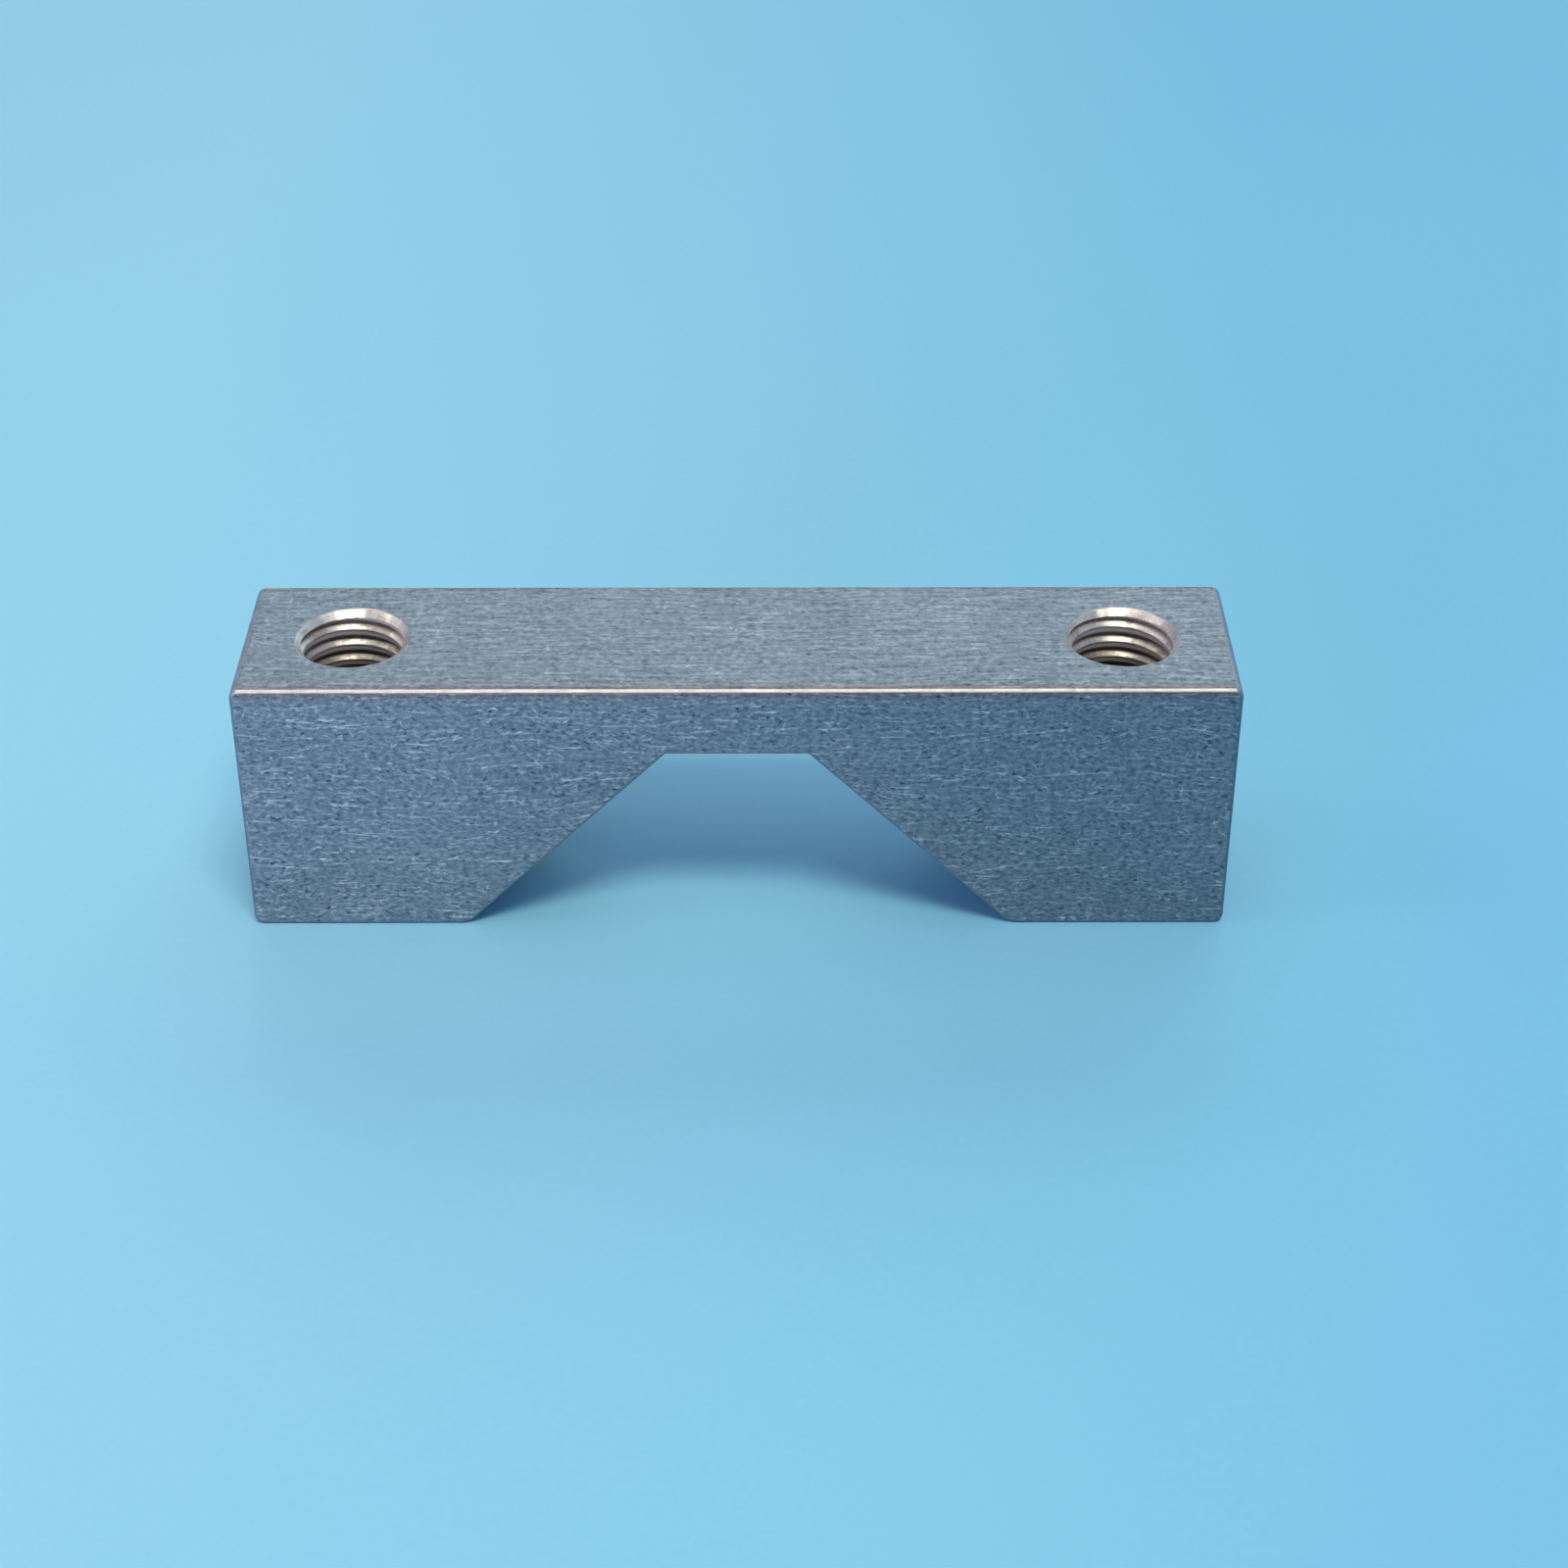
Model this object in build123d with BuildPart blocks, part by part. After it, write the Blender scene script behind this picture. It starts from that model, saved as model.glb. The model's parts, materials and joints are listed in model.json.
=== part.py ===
import os

from build123d import *

# Mounting block: a short rectangular steel bar with two tapped holes down through its
# ends, and a trapezoid relief milled across its underside that leaves two feet.
# X runs along the bar, Y across it to the back, and Z up. Sizes are millimetres.
# The origin is on the underside, at the middle of the bar's length and depth.

# Bar
length = 70.0
depth = 14.5
height = 19.8

# Relief across the underside, with both flanks at 45 degrees
relief_mouth = 39.0
relief_roof = 10.0
relief_height = (relief_mouth - relief_roof) / 2

# M8 x 1.25 holes, one down the middle of each foot. Each is bored out to the crests
# of its thread and countersunk at both mouths, and the fine thread itself isn't cut.
hole_count = 2
hole_spacing = 54.5
crest_radius = 3.5
countersink_radius = 4.1
countersink_angle = 90

# Corners and edges, rounded over by tumbling
outer_corner_radius = 0.7
mouth_corner_radius = 1.5
roof_corner_radius = 0.3
edge_radius = 0.5

with BuildPart() as mounting_block:
    # The front view is drawn whole, then its corners are rounded kind by kind.
    with BuildSketch(Plane.XZ) as front_view:
        with BuildLine():
            Polyline(
                (0, relief_height),
                (relief_roof / 2, relief_height),
                (relief_mouth / 2, 0),
                (length / 2, 0),
                (length / 2, height),
                (0, height),
            )
            mirror(about=Plane.YZ)
        make_face()
        roof_corners = front_view.vertices().group_by(Axis.Y)[1]
        fillet(roof_corners, roof_corner_radius)
        foot_corners = front_view.vertices().group_by(Axis.Y)[0]
        mouth_corners = foot_corners.sort_by(Axis.X)[1:3]
        fillet(mouth_corners, mouth_corner_radius)
        ends = front_view.vertices().group_by(Axis.X)
        fillet(ends[0] + ends[-1], outer_corner_radius)
    extrude(amount=depth / 2, both=True)

    # The front and back faces roll over into every face that meets them.
    faces_by_depth = mounting_block.faces().sort_by(Axis.Y)
    fillet(faces_by_depth[0].edges() + faces_by_depth[-1].edges(), edge_radius)

    # The holes go right through, and are countersunk from above and from below.
    for mouth_plane in (Plane.XY.offset(height), -Plane.XY):
        with Locations(mouth_plane):
            with GridLocations(hole_spacing, 0, hole_count, 1):
                CounterSinkHole(
                    radius=crest_radius,
                    counter_sink_radius=countersink_radius,
                    counter_sink_angle=countersink_angle,
                )

os.makedirs("parts", exist_ok=True)
mounting_block.part.label = "mounting_block"
export_step(mounting_block.part, "parts/mounting_block.step")
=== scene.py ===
import json
import math

import bmesh
import bpy
from mathutils import Matrix, Vector


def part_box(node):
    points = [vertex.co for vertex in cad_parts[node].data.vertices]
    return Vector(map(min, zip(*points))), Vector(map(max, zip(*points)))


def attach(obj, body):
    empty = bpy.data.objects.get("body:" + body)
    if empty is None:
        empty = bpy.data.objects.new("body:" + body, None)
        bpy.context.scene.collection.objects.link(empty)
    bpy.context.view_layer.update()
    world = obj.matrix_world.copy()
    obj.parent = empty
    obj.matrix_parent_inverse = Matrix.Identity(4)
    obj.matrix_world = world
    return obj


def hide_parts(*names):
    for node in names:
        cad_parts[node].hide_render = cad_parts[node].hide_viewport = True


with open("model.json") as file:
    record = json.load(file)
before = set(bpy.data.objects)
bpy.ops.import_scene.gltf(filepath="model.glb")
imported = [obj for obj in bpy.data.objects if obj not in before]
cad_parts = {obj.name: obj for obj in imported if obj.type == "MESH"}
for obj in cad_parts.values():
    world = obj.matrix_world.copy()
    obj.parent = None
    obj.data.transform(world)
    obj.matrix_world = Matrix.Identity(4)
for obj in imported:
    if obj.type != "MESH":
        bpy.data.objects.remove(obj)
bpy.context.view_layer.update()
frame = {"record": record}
blockLow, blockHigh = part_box("mounting_block")
mounts = {mount["name"]: mount for mount in frame["record"]["mounts"]}
holeMounts = (mounts["tapped_hole_left"], mounts["tapped_hole_right"])
mm = 0.001
touching = 0.01 * mm  # closer than this counts as the same place

bench = {
    "cameraPlace": (0.003442, -0.184863, 0.129600),
    "cameraTurn": (56.512, 0.083, -0.005),  # degrees
    "lens": 69.68,
    "sensor": 36.0,
    "clip": (0.01, 20.0),
    "floorSize": 8.0,
    "floorLeft": (0.375, 0.765, 0.83),  # painted light: the bench is made a little paler on the left, standing in for light that falls more brightly there
    "floorRight": (0.24, 0.62, 0.765),
    "floorReach": 0.056,  # how far left and right of the block it goes on changing
    "floorEven": 0.93,
    "floorPatches": (9.0, 1.0, 0.04),  # scale, detail, how much lighter
    "floorNap": (1800.0, 2.0, 0.06),
    "floorRoughness": 0.55,
    "floorFadesOut": (0.25, 0.8),  # metres from the block, where the backdrop takes over
    "ambientColour": (0.01, 0.07, 0.30),
    "backdropColour": (0.24, 0.60, 0.80),  # what shows where the bench has faded out
    "ambientStrength": 1.0,
}


def makeCamera():
    data = bpy.data.cameras.new("bench camera")
    data.lens = bench["lens"]
    data.sensor_width = bench["sensor"]
    data.clip_start, data.clip_end = bench["clip"]
    camera = bpy.data.objects.new("bench camera", data)
    camera.location = bench["cameraPlace"]
    camera.rotation_euler = [math.radians(angle) for angle in bench["cameraTurn"]]
    bpy.context.scene.collection.objects.link(camera)
    bpy.context.scene.camera = camera


makeCamera()
print("camera is up")


def meshObject(name, bm, *materials):
    data = bpy.data.meshes.new(name)
    bm.to_mesh(data)
    bm.free()
    for material in materials:
        data.materials.append(material)
    thing = bpy.data.objects.new(name, data)
    bpy.context.scene.collection.objects.link(thing)
    return thing


def roundEdges(bm, edges, radius, steps):
    turn = edges[0].calc_face_angle()
    bmesh.ops.bevel(
        bm, geom=edges, offset=radius * math.tan(turn / 2), offset_type="OFFSET", affect="EDGES",
        segments=steps, profile=0.5, material=-1, clamp_overlap=True,
    )


def depthEdges(bm, halfWidth, heights):
    # the edges that run front to back at this distance from the middle, at any of these heights
    found = []
    for edge in bm.edges:
        a, b = (vert.co for vert in edge.verts)
        atSide = abs(abs(a.x) - halfWidth) < touching
        if abs(a.y - b.y) > mm and atSide and any(abs(a.z - z) < touching for z in heights):
            found.append(edge)
    return found


block = {
    "reliefMouth": 39.0 * mm,
    "reliefRoof": 10.0 * mm,
    "outerCorner": 0.7 * mm,
    "mouthCorner": 1.5 * mm,
    "roofCorner": 0.3 * mm,
    "rollOver": 0.5 * mm,  # radius of the front and back edges
    "arcSteps": 6,
    "sharpAngle": 35,  # degrees: what turns further than this shades as a corner
    "flatWeight": 80,
    "weld": 0.0002 * mm,
}


def makeBar(finish):
    bm = bmesh.new()
    mouth = block["reliefMouth"] / 2
    roof = block["reliefRoof"] / 2
    low, high = blockLow, blockHigh
    roofHeight = low.z + mouth - roof  # both flanks are at 45 degrees
    outline = (
        (low.x, low.z), (-mouth, low.z), (-roof, roofHeight), (roof, roofHeight),
        (mouth, low.z), (high.x, low.z), (high.x, high.z), (low.x, high.z),
    )
    frontFace = bm.faces.new([bm.verts.new((x, low.y, z)) for x, z in outline])
    moved = bmesh.ops.extrude_face_region(bm, geom=[frontFace])["geom"]
    moved = [part for part in moved if isinstance(part, bmesh.types.BMVert)]
    bmesh.ops.translate(bm, vec=(0, high.y - low.y, 0), verts=moved)
    bmesh.ops.recalc_face_normals(bm, faces=bm.faces)

    steps = block["arcSteps"]
    roundEdges(bm, depthEdges(bm, high.x, (low.z, high.z)), block["outerCorner"], steps)
    roundEdges(bm, depthEdges(bm, mouth, (low.z,)), block["mouthCorner"], steps)
    roundEdges(bm, depthEdges(bm, roof, (roofHeight,)), block["roofCorner"], steps)
    rims = [edge for edge in bm.edges if abs(edge.verts[0].co.y - edge.verts[1].co.y) < touching]
    roundEdges(bm, rims, block["rollOver"], steps)
    return meshObject("mountingBlock", bm, finish)


thread = {
    "pitch": 1.25 * mm,
    "rootRadius": 4.05 * mm,
    "rootFlat": 0.14 * mm,
    "flankAngle": 30.0,  # degrees, each side
    "crestBreak": 0.05 * mm,  # how far the crest's corners are broken
    "lip": (0.10 * mm, 0.15 * mm),  # the crest's top corner is rolled inward: how far, over what height
    "crestDrop": (1.39 * mm, 1.22 * mm),  # down to the first crest's top corner at the back of each hole
    "stepsPerTurn": 72,
    "spareTurns": 4,
    "startBelow": 2.2,  # pitches under the block that the tap starts at least
    "overrun": 0.6 * mm,
    "weld": 0.0005 * mm,
}


def tapProfile():
    # one pitch of what the tap cuts away, from one crest up to the next, as radius and height
    crest = holeMounts[0]["dims"]["r_mm"] * mm
    root, pitch = thread["rootRadius"], thread["pitch"]
    slope = math.tan(math.radians(thread["flankAngle"]))
    flankRise = (root - crest) * slope
    crestFlat = pitch - thread["rootFlat"] - 2 * flankRise
    softOut = thread["crestBreak"]
    softUp = softOut * slope
    lipIn, lipRise = thread["lip"]
    land = crest + lipIn
    profile = (
        (land, softOut), (land, crestFlat - lipRise), (crest, crestFlat - softOut),
        (crest + softOut, crestFlat + softUp), (root, crestFlat + flankRise), (root, pitch - flankRise),
        (land + softOut, pitch - softUp - lipIn * slope), (land, pitch + softOut),
    )
    return profile, crestFlat


def makeTap(name, hole, crestDrop, finish):
    # The tap that cuts one hole: its profile is wound up the hole as a right-hand helix.
    profile, crestFlat = tapProfile()
    bm = bmesh.new()
    verts = [bm.verts.new((radius, 0, z)) for radius, z in profile]
    edges = [bm.edges.new(ends) for ends in zip(verts, verts[1:])]
    pitch, steps = thread["pitch"], thread["stepsPerTurn"]
    turns = math.ceil((blockHigh.z - blockLow.z) / pitch) + thread["spareTurns"]
    bmesh.ops.spin(
        bm, geom=verts + edges, cent=(0, 0, 0), axis=(0, 0, 1), dvec=(0, 0, pitch / steps),
        angle=turns * 2 * math.pi, steps=turns * steps, use_merge=False, use_duplicate=False,
    )
    bmesh.ops.remove_doubles(bm, verts=bm.verts, dist=thread["weld"])

    # The crest's top corner comes a quarter turn round, at the back, this far below the block's top.
    start = blockHigh.z - crestDrop - (crestFlat + pitch / 4)
    while start > blockLow.z - thread["startBelow"] * pitch:
        start -= pitch
    bmesh.ops.translate(bm, vec=(hole["pos_m"][0], hole["pos_m"][1], start), verts=bm.verts)
    for height, upward in ((blockHigh.z + thread["overrun"], 1), (blockLow.z - thread["overrun"], -1)):
        bmesh.ops.bisect_plane(
            bm, geom=bm.verts[:] + bm.edges[:] + bm.faces[:], dist=thread["weld"] / 5,
            plane_co=(0, 0, height), plane_no=(0, 0, upward), clear_outer=True, clear_inner=False,
        )
    bmesh.ops.holes_fill(bm, edges=[edge for edge in bm.edges if edge.is_boundary], sides=0)
    bmesh.ops.recalc_face_normals(bm, faces=bm.faces)
    return meshObject(name, bm, finish)


countersink = {
    "rimRadius": 4.12 * mm,
    "angle": 45.0,  # degrees from the hole's axis
    "pilotRadius": 3.2 * mm,
    "rimRound": 0.45 * mm,
    "rimSteps": 4,
    "flange": 0.5 * mm,
    "flare": 6.0,  # degrees that the flange rises
    "above": 1.5 * mm,  # how far the cutter stands out of the block
    "finishRadius": 4.06 * mm,  # outside this the rounded rim has the tumbled finish
    "steps": 120,
    "chatterMarks": 19,
    "chatterDepth": 0.8,  # 1 would make each mark quite flat
    "wander": ((0.25, 3, 0), (0.15, 7, 1)),  # share of a mark, waves round the hole, start
}


def chatter(turn):
    # the cutter has bounced round the hole, so its cone is many flats, some wider than others
    step = 2 * math.pi / countersink["chatterMarks"]
    wandered = turn + sum(
        share * step * math.sin(waves * turn + start) for share, waves, start in countersink["wander"]
    )
    flat = math.cos(step / 2) / math.cos(wandered % step - step / 2)
    return 1 + (flat - 1) * countersink["chatterDepth"]


def makeSink(name, hole, upward, coneFinish, rimFinish):
    # A countersinking cutter: a cone whose rim turns out into a nearly flat flange, with the corner rounded.
    bm = bmesh.new()
    rim, pilot, flange = (countersink[key] for key in ("rimRadius", "pilotRadius", "flange"))
    depth = (rim - pilot) / math.tan(math.radians(countersink["angle"]))
    bmesh.ops.create_circle(bm, cap_ends=True, radius=pilot, segments=countersink["steps"])
    bmesh.ops.translate(bm, vec=(0, 0, -depth), verts=bm.verts)
    ring = [edge for edge in bm.edges if edge.is_boundary]
    rise = flange * math.tan(math.radians(countersink["flare"]))
    for radius, height in ((rim, 0), (rim + flange, rise), (rim + flange, countersink["above"])):
        grown = bmesh.ops.extrude_edge_only(bm, edges=ring)["geom"]
        verts = [part for part in grown if isinstance(part, bmesh.types.BMVert)]
        ring = [part for part in grown if isinstance(part, bmesh.types.BMEdge) and part.is_boundary]
        now = math.hypot(verts[0].co.x, verts[0].co.y)
        bmesh.ops.scale(bm, vec=(radius / now, radius / now, 1), verts=verts)
        bmesh.ops.translate(bm, vec=(0, 0, height - verts[0].co.z), verts=verts)
    bmesh.ops.holes_fill(bm, edges=ring, sides=0)
    bmesh.ops.recalc_face_normals(bm, faces=bm.faces)
    corner = [
        edge for edge in bm.edges
        if all(abs(math.hypot(vert.co.x, vert.co.y) - rim) < touching for vert in edge.verts)
    ]
    roundEdges(bm, corner, countersink["rimRound"], countersink["rimSteps"])
    for face in bm.faces:
        middle = face.calc_center_median()
        face.material_index = int(math.hypot(middle.x, middle.y) > countersink["finishRadius"])
    for vert in bm.verts:
        size = chatter(math.atan2(vert.co.y, vert.co.x))
        vert.co.x *= size
        vert.co.y *= size
    if not upward:
        bmesh.ops.rotate(bm, cent=(0, 0, 0), matrix=Matrix.Rotation(math.pi, 3, "X"), verts=bm.verts)
    height = blockHigh.z if upward else blockLow.z
    bmesh.ops.translate(bm, vec=(hole["pos_m"][0], hole["pos_m"][1], height), verts=bm.verts)
    return meshObject(name, bm, coneFinish, rimFinish)


def cutAway(body, cutters):
    for cutter in cutters:
        step = body.modifiers.new(cutter.name, "BOOLEAN")
        step.operation = "DIFFERENCE"
        step.solver = "EXACT"
        step.material_mode = "TRANSFER"
        step.object = cutter
    bpy.context.view_layer.update()
    shaped = bpy.data.meshes.new_from_object(body.evaluated_get(bpy.context.evaluated_depsgraph_get()))
    body.modifiers.clear()
    body.data = shaped
    for cutter in cutters:
        bpy.data.objects.remove(cutter)


def finishShading(body):
    bm = bmesh.new()
    bm.from_mesh(body.data)
    bmesh.ops.remove_doubles(bm, verts=bm.verts, dist=block["weld"])
    bmesh.ops.dissolve_degenerate(bm, edges=bm.edges, dist=block["weld"])
    bmesh.ops.recalc_face_normals(bm, faces=bm.faces)
    openEdges = sum(1 for edge in bm.edges if len(edge.link_faces) != 2)
    print("block has", len(bm.verts), "points,", openEdges, "open edges, volume", bm.calc_volume() / mm ** 3)
    bm.to_mesh(body.data)
    bm.free()
    for polygon in body.data.polygons:
        polygon.use_smooth = True
    body.data.set_sharp_from_angle(angle=math.radians(block["sharpAngle"]))
    weight = body.modifiers.new("flat faces stay flat", "WEIGHTED_NORMAL")
    weight.keep_sharp = True
    weight.weight = block["flatWeight"]


# Small helpers for the materials. A value may be a number, a colour or another node's socket.
def putNode(tree, kind, inputs=None, **settings):
    node = tree.nodes.new(kind)
    for name, value in settings.items():
        setattr(node, name, value)
    for socket, value in (inputs or {}).items():
        if isinstance(value, bpy.types.NodeSocket):
            tree.links.new(value, node.inputs[socket])
        else:
            node.inputs[socket].default_value = value
    return node


def calc(tree, operation, *values):
    return putNode(tree, "ShaderNodeMath", dict(enumerate(values)), operation=operation).outputs[0]


def inverse(tree, value):
    return calc(tree, "SUBTRACT", 1.0, value)


def weighted(tree, base, *terms):
    total = base
    for value, weight in terms:
        total = calc(tree, "MULTIPLY_ADD", value, weight, total)
    return total


def fade(tree, value, start, end, low=0.0, high=1.0):
    inputs = {0: value, 1: start, 2: end, 3: low, 4: high}
    return putNode(tree, "ShaderNodeMapRange", inputs, interpolation_type="SMOOTHSTEP").outputs[0]


def mix(tree, share, first, second):
    return putNode(tree, "ShaderNodeMix", {0: share, 2: first, 3: second}).outputs[0]


def blend(tree, share, first, second):
    # the same between two colours, each a colour or a socket
    first, second = ((*colour, 1) if isinstance(colour, tuple) else colour for colour in (first, second))
    return putNode(tree, "ShaderNodeMix", {0: share, 6: first, 7: second}, data_type="RGBA").outputs[2]


def scaled(tree, vector, size):
    return putNode(tree, "ShaderNodeVectorMath", {0: vector, "Scale": size}, operation="SCALE").outputs[0]


def pair(tree, first, second, third=0.0):
    return putNode(tree, "ShaderNodeCombineXYZ", {0: first, 1: second, 2: third}).outputs[0]


def apart(tree, vector):
    return putNode(tree, "ShaderNodeSeparateXYZ", {0: vector}).outputs


def readSurface(tree):
    # the place in millimetres, the size of each part of the facing, and how far it faces up
    coordinates = putNode(tree, "ShaderNodeTexCoord").outputs
    where = apart(tree, scaled(tree, coordinates["Object"], 1 / mm))
    facing = putNode(tree, "ShaderNodeVectorMath", {0: coordinates["Normal"]}, operation="ABSOLUTE")
    return where, apart(tree, facing.outputs[0]), apart(tree, coordinates["Normal"])[2]


def stretch(tree, vector, size, shift):
    # counts a pattern in cells of the given size, and moves it along to a fresh part of the noise
    scale = (1 / size[0], 1 / size[1], 1)
    inputs = {"Vector": vector, "Scale": scale, "Location": (shift, shift * 0.73, 0)}
    return putNode(tree, "ShaderNodeMapping", inputs).outputs[0]


def noise(tree, vector, size, shift, detail, roughness):
    inputs = {"Scale": 1.0, "Detail": detail, "Roughness": roughness}
    inputs["Vector"] = stretch(tree, vector, size, shift)
    return putNode(tree, "ShaderNodeTexNoise", inputs, noise_dimensions="2D").outputs[0]


def strokes(tree, vector, cell, length, width, spread, shift):
    # One short scratch in each cell, at a random angle within the spread and of a random strength.
    place = stretch(tree, vector, cell, shift)
    cells = putNode(tree, "ShaderNodeTexVoronoi", {"Vector": place, "Scale": 1.0}, voronoi_dimensions="2D")
    offset = putNode(
        tree, "ShaderNodeVectorMath", {0: place, 1: cells.outputs["Position"]}, operation="SUBTRACT"
    )
    inputs = {0: offset.outputs[0], 1: (*cell, 0)}
    back = putNode(tree, "ShaderNodeVectorMath", inputs, operation="MULTIPLY")
    chance = putNode(tree, "ShaderNodeSeparateColor", {0: cells.outputs["Color"]}).outputs
    angle = calc(tree, "MULTIPLY_ADD", chance[0], 2 * math.radians(spread), -math.radians(spread))
    inputs = {"Vector": back.outputs[0], "Angle": angle}
    turned = apart(tree, putNode(tree, "ShaderNodeVectorRotate", inputs, rotation_type="Z_AXIS").outputs[0])
    # It fades out over the outer half of its length and the outer three quarters of its width.
    body = calc(
        tree, "MULTIPLY",
        fade(tree, calc(tree, "ABSOLUTE", turned[0]), length / 2, length / 4),
        fade(tree, calc(tree, "ABSOLUTE", turned[1]), width / 2, width / 8),
    )
    return calc(tree, "MULTIPLY", body, fade(tree, chance[1], 0.05, 0.95))


def newMaterial(name):
    material = bpy.data.materials.new(name)
    material.use_nodes = True
    return material, material.node_tree, material.node_tree.nodes["Principled BSDF"]


tumbled = {
    "steel": (0.378, 0.365, 0.36),
    "besideEdge": (0.375, 0.295, 0.275),  # painted shade: darker and browner along the two long top edges, carrying on the dark band those edges show
    "besideOnTop": (0.9, 0.4),  # mm in from the side, where the painted brownish shade starts and where it is full
    "besideOnSide": (0.9, 0.45),  # mm down from the top, the same
    "rolledEdge": (0.92, 0.79, 0.61),  # the long top edges are polished, and carry a painted highlight along their middle where they face the lamps
    # painted shade: the dark brownish border on either side of that highlight
    "edgeBorder": (0.33, 0.25, 0.20),
    "shortEdge": (0.47, 0.50, 0.50),  # the short top edges, and the rims of the holes: polished, and made lighter where they face up, a painted light
    "dullEdge": (0.28, 0.32, 0.35),  # painted shade: every other edge, which faces sideways or down
    "longEdgeFacing": ((0.35, 0.10), (0.02, 0.08)),  # a long top edge faces little along the bar, and up
    "rubbedFacing": ((0.30, 0.50), (0.99, 0.95)),  # the painted highlight lies between facing this far up and this far
    # edges go from painted shade to painted light as they face up over this
    "shortEdgeFacing": (0.05, 0.35),
    "edgeStart": (0.997, 0.94),  # an edge starts where no flat is faced this squarely, and is full here
    "edgeWear": (0.80, 0.70, 0.60),  # how far an edge has its own tone, that tone's base and its change
    "edgeBump": 0.30,
    "darkerFrom": (-12.0, 34.0),  # mm along the bar: painted shade, both long sides turn a little darker over this
    "darkerEnd": 0.84,
    "roughness": 0.45,
    "mottleRoughness": 0.10,
    "edgeRoughness": 0.14,  # how much rougher the edges are
    "bumpDepth": 0.015 * mm,
    "endFacing": 0.8,  # an end is what faces along the bar more squarely than this
    "flatFacing": 0.6,  # the top, the underside and their edges are what face up or down more than this
    "topFacing": 0.8,  # and the flats alone are what do so more than this
    "sideFacing": (0.6, 0.9),  # the long sides start and are full here
    "flatOffset": 71.0,  # mm: tops and ends have other parts of the pattern than the sides
    "endOffset": 137.0,
    "markOffset": (11.0, 17.3),  # cells: where in the pattern the first marks are, and how far on the next
    "flatScale": (0.85, 0.60),  # the marks on the top are this much fewer per mm, along and across
    "topMarks": 0.65,  # and this much fainter
    "sidePowers": (1.24, 0.83),  # painted reflection: light marks are made whiter and dark ones bluer, standing in for the warmer and cooler light they catch: the powers of red and blue
    "topPowers": (1.10, 0.91),
    "contrast": 1.25,
    "topContrast": 1.0,
    "sway": (2.2, 0.8),  # mm that the grain wanders across itself, on the sides and on the top
    "wobble": 0.09,  # mm, over short distances
    "flutter": 0.10,
    "evenTone": 0.95,  # what the tones add up to on plain metal
    "busy": (0.30, 0.66, 0.35, 1.0),  # the marks come in crowds, from this faint to full
    "pits": (0.66, 0.80),
    "noises": {
        # cell in mm along and across the grain, shift, detail, roughness
        "sway": ((14, 9), 5.0, 1.0, 0.5),
        "wobble": ((0.55, 0.55), 9.0, 1.0, 0.5),
        "flutter": ((0.40, 0.40), 13.0, 1.0, 0.5),
        "grain": ((0.48, 0.27), 3.0, 3.0, 0.62),
        "mottle": ((0.40, 0.34), 21.0, 3.0, 0.65),
        "cloud": ((9, 6), 33.0, 2.0, 0.5),
        "busy": ((2.6, 1.6), 41.0, 2.0, 0.5),
        "pits": ((0.30, 0.26), 95.0, 1.0, 0.5),
        "hairlines": ((3.6, 0.17), 71.0, 2.0, 0.5),  # on the top and the underside alone
        "worn": ((1.1, 1.1), 61.0, 3.0, 0.6),
    },
    # how much lighter and how much higher each makes the steel
    "tones": {"grain": 0.85, "mottle": 0.65, "cloud": 0.16, "pits": -0.20, "hairlines": 0.8},
    "heights": {"grain": 1.0, "mottle": 0.8, "pits": -0.6},
    "marks": {
        # cell in mm, length, width, spread in degrees, how much lighter, how much higher
        "long": ((3.0, 0.62), 2.4, 0.17, 6, 0.62, -0.4),
        "short": ((1.00, 0.50), 0.75, 0.20, 18, 0.50, -0.4),
        "fine": ((0.62, 0.46), 0.48, 0.19, 42, 0.45, -0.4),
        "dark": ((0.74, 0.50), 0.48, 0.21, 40, -0.38, -0.3),
        "nicks": ((0.85, 0.85), 0.58, 0.18, 90, 0.50, -0.5),
        "scratches": ((12, 4), 8, 0.14, 9, 0.55, -0.5),
    },
}


def tumbledNoise(tree, plane, name):
    return noise(tree, plane, *tumbled["noises"][name])


def blockPlane(tree, where, faces):
    # Millimetres along and across the grain, which follows the bar, or the width of an end.
    onEnd = calc(tree, "GREATER_THAN", faces[0], tumbled["endFacing"])
    onFlat = calc(tree, "GREATER_THAN", faces[2], tumbled["flatFacing"])
    along = mix(tree, onEnd, where[0], where[1])
    across = mix(tree, onFlat, where[2], where[1])
    scaleAlong, scaleAcross = (fade(tree, onFlat, 0.0, 1.0, 1.0, scale) for scale in tumbled["flatScale"])
    along = weighted(tree, along, (onEnd, tumbled["endOffset"]), (onFlat, tumbled["flatOffset"]))
    along = calc(tree, "MULTIPLY", along, scaleAlong)
    across = calc(tree, "MULTIPLY", across, scaleAcross)
    flat = pair(tree, along, across)
    sway, wobble, flutter = (tumbledNoise(tree, flat, name) for name in ("sway", "wobble", "flutter"))
    along = weighted(tree, along, (flutter, tumbled["flutter"]))
    swaying = calc(tree, "MULTIPLY", sway, fade(tree, onFlat, 0.0, 1.0, *tumbled["sway"]))
    across = weighted(tree, across, (swaying, 1.0), (wobble, tumbled["wobble"]))
    return pair(tree, along, across)


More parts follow.
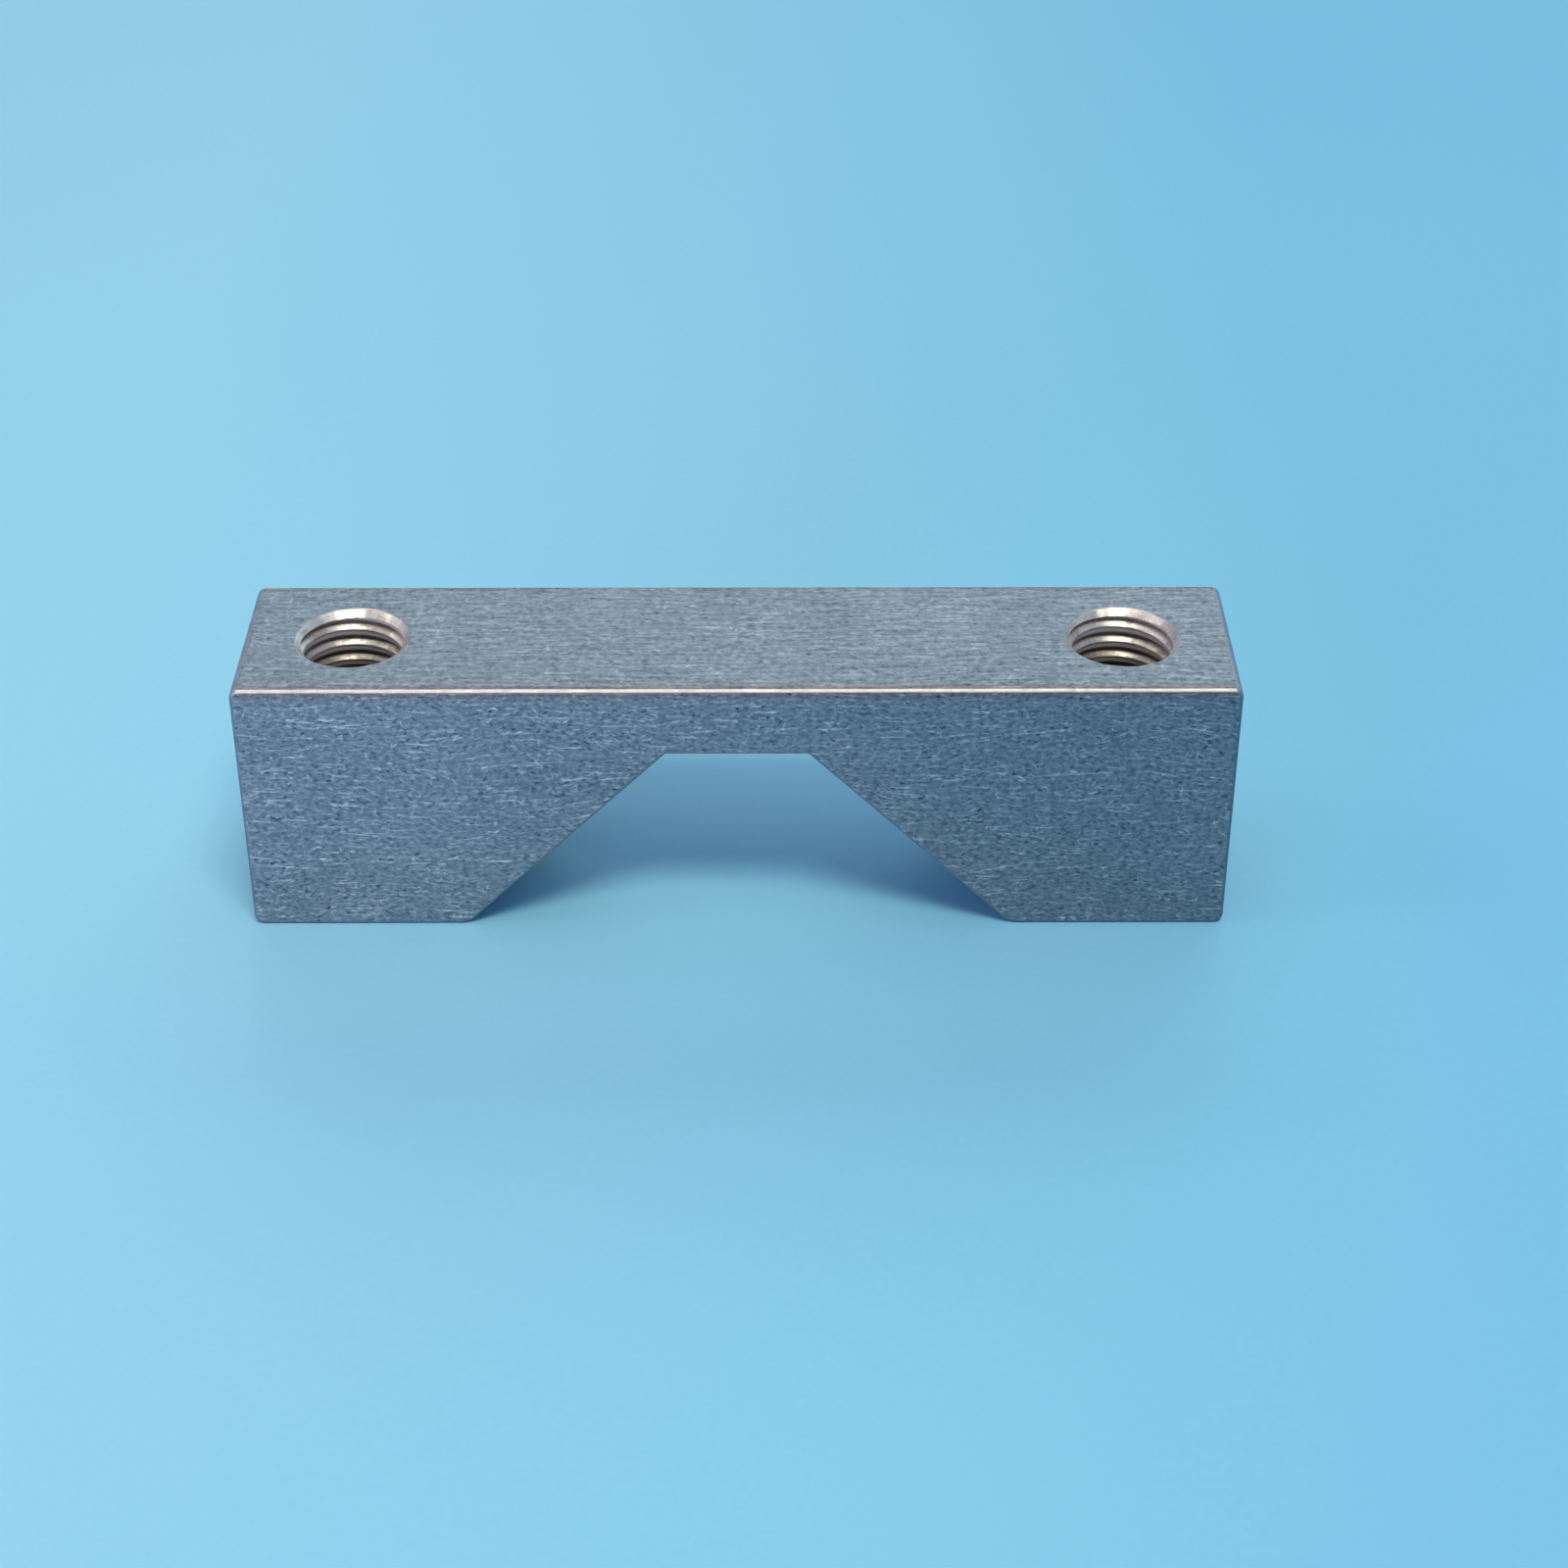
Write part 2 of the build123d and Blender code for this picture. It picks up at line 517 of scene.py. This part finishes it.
def tumbledPatterns(tree, plane, onTop):
    # the tone of the marked steel, about 1, and its height
    patterns = {name: tumbledNoise(tree, plane, name) for name in ("grain", "mottle", "cloud")}
    busy = fade(tree, tumbledNoise(tree, plane, "busy"), *tumbled["busy"])
    patterns["pits"] = fade(tree, tumbledNoise(tree, plane, "pits"), *tumbled["pits"])
    hairlines = calc(tree, "SUBTRACT", tumbledNoise(tree, plane, "hairlines"), 0.5)
    patterns["hairlines"] = calc(tree, "MULTIPLY", hairlines, onTop)
    tones = [(patterns[name], weight) for name, weight in tumbled["tones"].items()]
    heights = [(patterns[name], weight) for name, weight in tumbled["heights"].items()]
    strength = calc(tree, "MULTIPLY", busy, calc(tree, "MULTIPLY_ADD", onTop, tumbled["topMarks"] - 1, 1.0))
    first, step = tumbled["markOffset"]
    for number, (cell, length, width, spread, lighter, higher) in enumerate(tumbled["marks"].values()):
        mark = strokes(tree, plane, cell, length, width, spread, first + step * number)
        mark = calc(tree, "MULTIPLY", mark, strength)
        tones.append((mark, lighter))
        heights.append((mark, higher))
    change = tumbled["topContrast"] - tumbled["contrast"]
    contrast = calc(tree, "MULTIPLY_ADD", onTop, change, tumbled["contrast"])
    tone = calc(tree, "MULTIPLY_ADD", weighted(tree, -tumbled["evenTone"], *tones), contrast, 1.0)
    return tone, weighted(tree, 0.0, *heights), patterns["mottle"]


def rolledEdges(tree, where, faces):
    # Where the surface faces none of the block's flats, or in the relief its 45-degree flanks.
    flank = calc(tree, "MULTIPLY", calc(tree, "ADD", faces[0], faces[2]), math.sqrt(0.5))
    reliefEnd = (block["reliefMouth"] / 2 + block["mouthCorner"]) / mm
    inRelief = calc(tree, "LESS_THAN", calc(tree, "ABSOLUTE", where[0]), reliefEnd)
    flattest = calc(tree, "MAXIMUM", faces[0], calc(tree, "MAXIMUM", faces[1], faces[2]))
    flattest = calc(tree, "MAXIMUM", flattest, calc(tree, "MULTIPLY", flank, inRelief))
    return fade(tree, flattest, *tumbled["edgeStart"])


def tumbledColour(tree, where, faces, facingUp, edge):
    # The edges carry painted light and shade: a painted highlight along the middle of the long top edges
    # with a painted dark border, and other edges lighter where they face up and darker where they face
    # sideways or down.
    along, up = tumbled["longEdgeFacing"]
    longEdge = calc(tree, "MULTIPLY", fade(tree, faces[0], *along), fade(tree, facingUp, *up))
    low, high = tumbled["rubbedFacing"]
    polishAndSheen = calc(tree, "MULTIPLY", fade(tree, facingUp, *low), fade(tree, facingUp, *high))
    bright = blend(tree, polishAndSheen, tumbled["edgeBorder"], tumbled["rolledEdge"])
    # Painted light on edges that face up, painted shade on the rest.
    short = fade(tree, facingUp, *tumbled["shortEdgeFacing"])
    plain = blend(tree, short, tumbled["dullEdge"], tumbled["shortEdge"])
    rim = blend(tree, longEdge, plain, bright)
    # A painted shade, dark and brownish, lies on the flats beside the two long top edges.
    onTop = (blockHigh.y / mm - inward for inward in tumbled["besideOnTop"])
    onSide = (blockHigh.z / mm - down for down in tumbled["besideOnSide"])
    fromMiddle = calc(tree, "ABSOLUTE", where[1])
    beside = calc(tree, "MULTIPLY", fade(tree, fromMiddle, *onTop), fade(tree, where[2], *onSide))
    steel = blend(tree, beside, tumbled["steel"], tumbled["besideEdge"])
    return blend(tree, edge, steel, rim)


def makeTumbledSteel():
    material, tree, shader = newMaterial("tumbled steel")
    where, faces, facingUp = readSurface(tree)
    plane = blockPlane(tree, where, faces)
    onTop = calc(tree, "GREATER_THAN", faces[2], tumbled["topFacing"])
    tone, height, mottle = tumbledPatterns(tree, plane, onTop)

    # The edges are plainer than the faces.
    edge = rolledEdges(tree, where, faces)
    ownTone, base, change = tumbled["edgeWear"]
    worn = weighted(tree, base, (tumbledNoise(tree, plane, "worn"), change))
    tone = mix(tree, calc(tree, "MULTIPLY", edge, ownTone), tone, worn)
    # Painted shade: the long sides darken along the bar.
    sideShade = fade(tree, where[0], *tumbled["darkerFrom"], 1.0, tumbled["darkerEnd"])
    onSide = fade(tree, faces[1], *tumbled["sideFacing"])
    tone = calc(tree, "MULTIPLY", tone, mix(tree, onSide, 1.0, sideShade))

    # Painted reflection: lighter tones turn whiter and darker ones bluer.
    red, blue = (
        calc(tree, "POWER", tone, calc(tree, "MULTIPLY_ADD", onTop, top - side, side))
        for side, top in zip(tumbled["sidePowers"], tumbled["topPowers"])
    )
    inputs = {0: tumbledColour(tree, where, faces, facingUp, edge), 1: pair(tree, red, tone, blue)}
    colour = putNode(tree, "ShaderNodeVectorMath", inputs, operation="MULTIPLY")
    tree.links.new(colour.outputs[0], shader.inputs["Base Color"])
    shader.inputs["Metallic"].default_value = 1.0
    rough = weighted(
        tree, tumbled["roughness"], (mottle, tumbled["mottleRoughness"]), (edge, tumbled["edgeRoughness"])
    )
    tree.links.new(rough, shader.inputs["Roughness"])
    inputs = {
        "Height": height,
        "Distance": tumbled["bumpDepth"],
        "Strength": fade(tree, edge, 0.0, 1.0, 1.0, tumbled["edgeBump"]),
    }
    tree.links.new(putNode(tree, "ShaderNodeBump", inputs).outputs[0], shader.inputs["Normal"])
    return material


cut = {
    "bright": (0.94, 0.86, 0.69),
    "warm": (0.67, 0.55, 0.42),
    # dark brown for discoloured specks and blotches, and painted shade in the grooves and deep in the holes
    "stained": (0.51, 0.41, 0.31),
    "land": (0.93, 0.82, 0.68),  # the drilled wall that is left between two turns of the thread
    "metal": 0.8,
    "landMetal": 0.1,
    "grooveMetal": -0.3,  # added in the grooves
    "roughness": 0.28,
    "roughPatches": {"smear": 0.16, "blotch": 0.10, "inGroove": 0.08, "onLand": 0.20},
    "bumpDepth": 0.008 * mm,
    "heights": {"toolLines": 1.0, "smear": 0.9, "speck": -0.8},
    "warmth": (-0.05, 0.75, 0.35),  # base, then with the blotches and with the smears
    "stain": (-0.04, 0.80, 0.45, 0.45, 0.30),  # base, grooves, specks, depth, blotches off the cone; the specks and blotches are discolouring, the grooves partly discolouring and partly painted shade, the depth painted shade
    "coneDepth": 0.62,  # mm from the top or the underside down to the first thread
    "coneBlend": 0.05,
    "deep": (0.6, 4.5, 0.5),  # painted shade: mm below the cone where it starts to darken, where it is full, how dark
    "grooveStart": 0.05,  # mm out from the crests
    "landFacing": (0.55, 0.25),  # the land faces up or down less than this, and is full here
    "blotch": (0.50, 0.62),
    "speck": (0.62, 0.76),
    "noises": {
        # cell in mm round the hole and down it, shift, detail, roughness
        "toolLines": ((5.0, 0.06), 4.0, 2.0, 0.5),
        "smear": ((0.7, 0.35), 14.0, 3.0, 0.6),
        "blotch": ((1.7, 0.9), 27.0, 3.0, 0.65),
        "speck": ((0.30, 0.16), 52.0, 1.0, 0.5),
    },
    "wrapRadius": 4.0,  # mm
    "holeOffset": 23.0,  # mm: each hole has its own part of the pattern
}


def makeCutThread():
    material, tree, shader = newMaterial("cut thread steel")
    where, faces, _ = readSurface(tree)
    # Both holes stand the same way out from the middle, so one side's measure serves for both.
    hole = holeMounts[1]
    side = calc(tree, "SUBTRACT", calc(tree, "ABSOLUTE", where[0]), abs(hole["pos_m"][0]) / mm)
    inputs = {0: pair(tree, side, where[1])}
    radius = putNode(tree, "ShaderNodeVectorMath", inputs, operation="LENGTH").outputs["Value"]
    turn = calc(tree, "ARCTAN2", where[1], side)
    shift = calc(tree, "MULTIPLY", calc(tree, "SIGN", where[0]), cut["holeOffset"])
    wrapped = pair(tree, calc(tree, "MULTIPLY_ADD", turn, cut["wrapRadius"], shift), where[2])
    patterns = {name: noise(tree, wrapped, *values) for name, values in cut["noises"].items()}
    for name in ("blotch", "speck"):
        patterns[name] = fade(tree, patterns[name], *cut[name])

    middle = (blockLow.z + blockHigh.z) / 2 / mm
    fromMiddle = calc(tree, "ABSOLUTE", calc(tree, "SUBTRACT", where[2], middle))
    coneEnd = middle - blockLow.z / mm - cut["coneDepth"]
    onCone = fade(tree, fromMiddle, coneEnd - cut["coneBlend"], coneEnd + cut["coneBlend"])
    groove = fade(tree, radius, hole["dims"]["r_mm"] + cut["grooveStart"], thread["rootRadius"] / mm)
    groove = calc(tree, "MULTIPLY", groove, inverse(tree, onCone))
    # Painted shade: the wall darkens further down the hole.
    darkStart, darkEnd, darkness = cut["deep"]
    deep = fade(tree, fromMiddle, coneEnd - darkStart, coneEnd - darkEnd)
    onLand = calc(tree, "MULTIPLY", fade(tree, faces[2], *cut["landFacing"]), inverse(tree, groove))
    patterns.update(inGroove=groove, onLand=onLand)

    base, blotches, smears = cut["warmth"]
    warmth = weighted(tree, base, (patterns["blotch"], blotches), (patterns["smear"], smears))
    # The darkening in the grooves is partly discolouring and partly painted shade.
    base, grooves, specks, depth, blotches = cut["stain"]
    offCone = calc(tree, "MULTIPLY", patterns["blotch"], inverse(tree, onCone))
    stain = weighted(
        tree, base, (groove, grooves), (patterns["speck"], specks), (deep, depth), (offCone, blotches)
    )
    colour = blend(tree, warmth, cut["bright"], cut["warm"])
    colour = blend(tree, stain, colour, cut["stained"])
    colour = blend(tree, onLand, colour, cut["land"])
    # painted shade, darker further down the hole
    colour = scaled(tree, colour, calc(tree, "MULTIPLY_ADD", deep, -darkness, 1.0))
    tree.links.new(colour, shader.inputs["Base Color"])
    metal = weighted(
        tree, cut["metal"], (onLand, cut["landMetal"] - cut["metal"]), (groove, cut["grooveMetal"])
    )
    tree.links.new(metal, shader.inputs["Metallic"])
    rough = [(patterns[name], weight) for name, weight in cut["roughPatches"].items()]
    tree.links.new(weighted(tree, cut["roughness"], *rough), shader.inputs["Roughness"])
    height = [(patterns[name], weight) for name, weight in cut["heights"].items()]
    inputs = {"Height": weighted(tree, 0.0, *height), "Distance": cut["bumpDepth"], "Strength": 1.0}
    tree.links.new(putNode(tree, "ShaderNodeBump", inputs).outputs[0], shader.inputs["Normal"])
    return material


tumbledSteel = makeTumbledSteel()
cutThread = makeCutThread()
print("materials are ready")


mountingBlock = makeBar(tumbledSteel)
taps = [
    makeTap(f"tap{number}", hole, thread["crestDrop"][number], cutThread)
    for number, hole in enumerate(holeMounts)
]
sinks = [
    makeSink(f"sink{number}{upward}", hole, upward, cutThread, tumbledSteel)
    for number, hole in enumerate(holeMounts)
    for upward in (True, False)
]
cutAway(mountingBlock, taps + sinks)
finishShading(mountingBlock)
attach(mountingBlock, "root")
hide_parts("mounting_block")
print("block is cut, with", [material.name for material in mountingBlock.data.materials])


def makeFloor():
    bm = bmesh.new()
    bmesh.ops.create_grid(bm, x_segments=1, y_segments=1, size=bench["floorSize"] / 2)
    material, tree, shader = newMaterial("pale blue bench")
    place = putNode(tree, "ShaderNodeTexCoord").outputs["Object"]
    changes = []
    for scale, detail, lighter in (bench["floorPatches"], bench["floorNap"]):
        inputs = {"Vector": place, "Scale": scale, "Detail": detail}
        changes.append((putNode(tree, "ShaderNodeTexNoise", inputs).outputs[0], lighter))
    # Painted light: the bench pales towards the left of the block.
    inputs = {0: apart(tree, place)[0], 1: -bench["floorReach"], 2: bench["floorReach"]}
    rightward = putNode(tree, "ShaderNodeMapRange", inputs).outputs[0]
    colour = blend(tree, rightward, bench["floorLeft"], bench["floorRight"])
    colour = scaled(tree, colour, weighted(tree, bench["floorEven"], *changes))
    tree.links.new(colour, shader.inputs["Base Color"])
    shader.inputs["Roughness"].default_value = bench["floorRoughness"]
    # Far out the camera sees through the bench, so no edge or dark horizon shows.
    away = putNode(tree, "ShaderNodeVectorMath", {0: place}, operation="LENGTH").outputs["Value"]
    seen = putNode(tree, "ShaderNodeLightPath").outputs["Is Camera Ray"]
    clear = calc(tree, "MULTIPLY", fade(tree, away, *bench["floorFadesOut"]), seen)
    seeThrough = putNode(tree, "ShaderNodeBsdfTransparent").outputs[0]
    surface = putNode(tree, "ShaderNodeMixShader", {0: clear, 1: shader.outputs[0], 2: seeThrough})
    tree.links.new(surface.outputs[0], tree.nodes["Material Output"].inputs["Surface"])
    meshObject("benchTop", bm, material)


lamps = (
    # name, direction from the block, metres away, size across and deep, watts, colour, spread in degrees
    ("overhead strip", (0.11, -0.40, 0.91), 1.0, (0.36, 0.22), 4.5, (0.97, 1.0, 0.90), 180),
    ("top softbox", (0.0, 0.0, 1.0), 1.2, (1.2, 1.2), 2.6, (1.0, 0.95, 0.74), 180),
    ("right softbox", (0.80, 0.20, 0.48), 1.2, (0.8, 0.7), 0.7, (0.90, 0.96, 1.0), 180),
    ("left softbox", (-0.80, 0.22, 0.45), 1.2, (0.8, 0.7), 1.1, (1.0, 0.88, 0.70), 180),
    ("left panel", (-0.70, -0.12, 0.70), 1.0, (0.30, 0.30), 0.8, (1.0, 0.93, 0.80), 180),
    ("back softbox", (0.10, 0.80, 0.52), 1.3, (1.6, 0.7), 5.4, (0.75, 1.0, 1.0), 180),
    ("low fill", (-0.53, -0.84, 0.13), 0.38, (0.15, 0.10), 0.147, (0.44, 0.43, 0.82), 80),
)


def makeLamps():
    for name, direction, distance, size, watts, colour, spread in lamps:
        data = bpy.data.lights.new(name, "AREA")
        data.shape = "RECTANGLE"
        data.size, data.size_y = size
        data.energy = watts
        data.color = colour
        data.spread = math.radians(spread)
        lamp = bpy.data.objects.new(name, data)
        lamp.location = Vector(direction).normalized() * distance
        lamp.rotation_euler = Vector(direction).to_track_quat("Z", "Y").to_euler()
        lamp.visible_camera = False
        bpy.context.scene.collection.objects.link(lamp)


def makeWorld():
    world = bpy.data.worlds.new("studio")
    world.use_nodes = True
    tree = world.node_tree
    seen = putNode(tree, "ShaderNodeLightPath").outputs["Is Camera Ray"]
    background = tree.nodes["Background"]
    colour = blend(tree, seen, bench["ambientColour"], bench["backdropColour"])
    tree.links.new(colour, background.inputs["Color"])
    background.inputs["Strength"].default_value = bench["ambientStrength"]
    bpy.context.scene.world = world


makeFloor()
makeLamps()
makeWorld()
bpy.context.scene.view_settings.view_transform = "Standard"
print("bench and lamps are set")
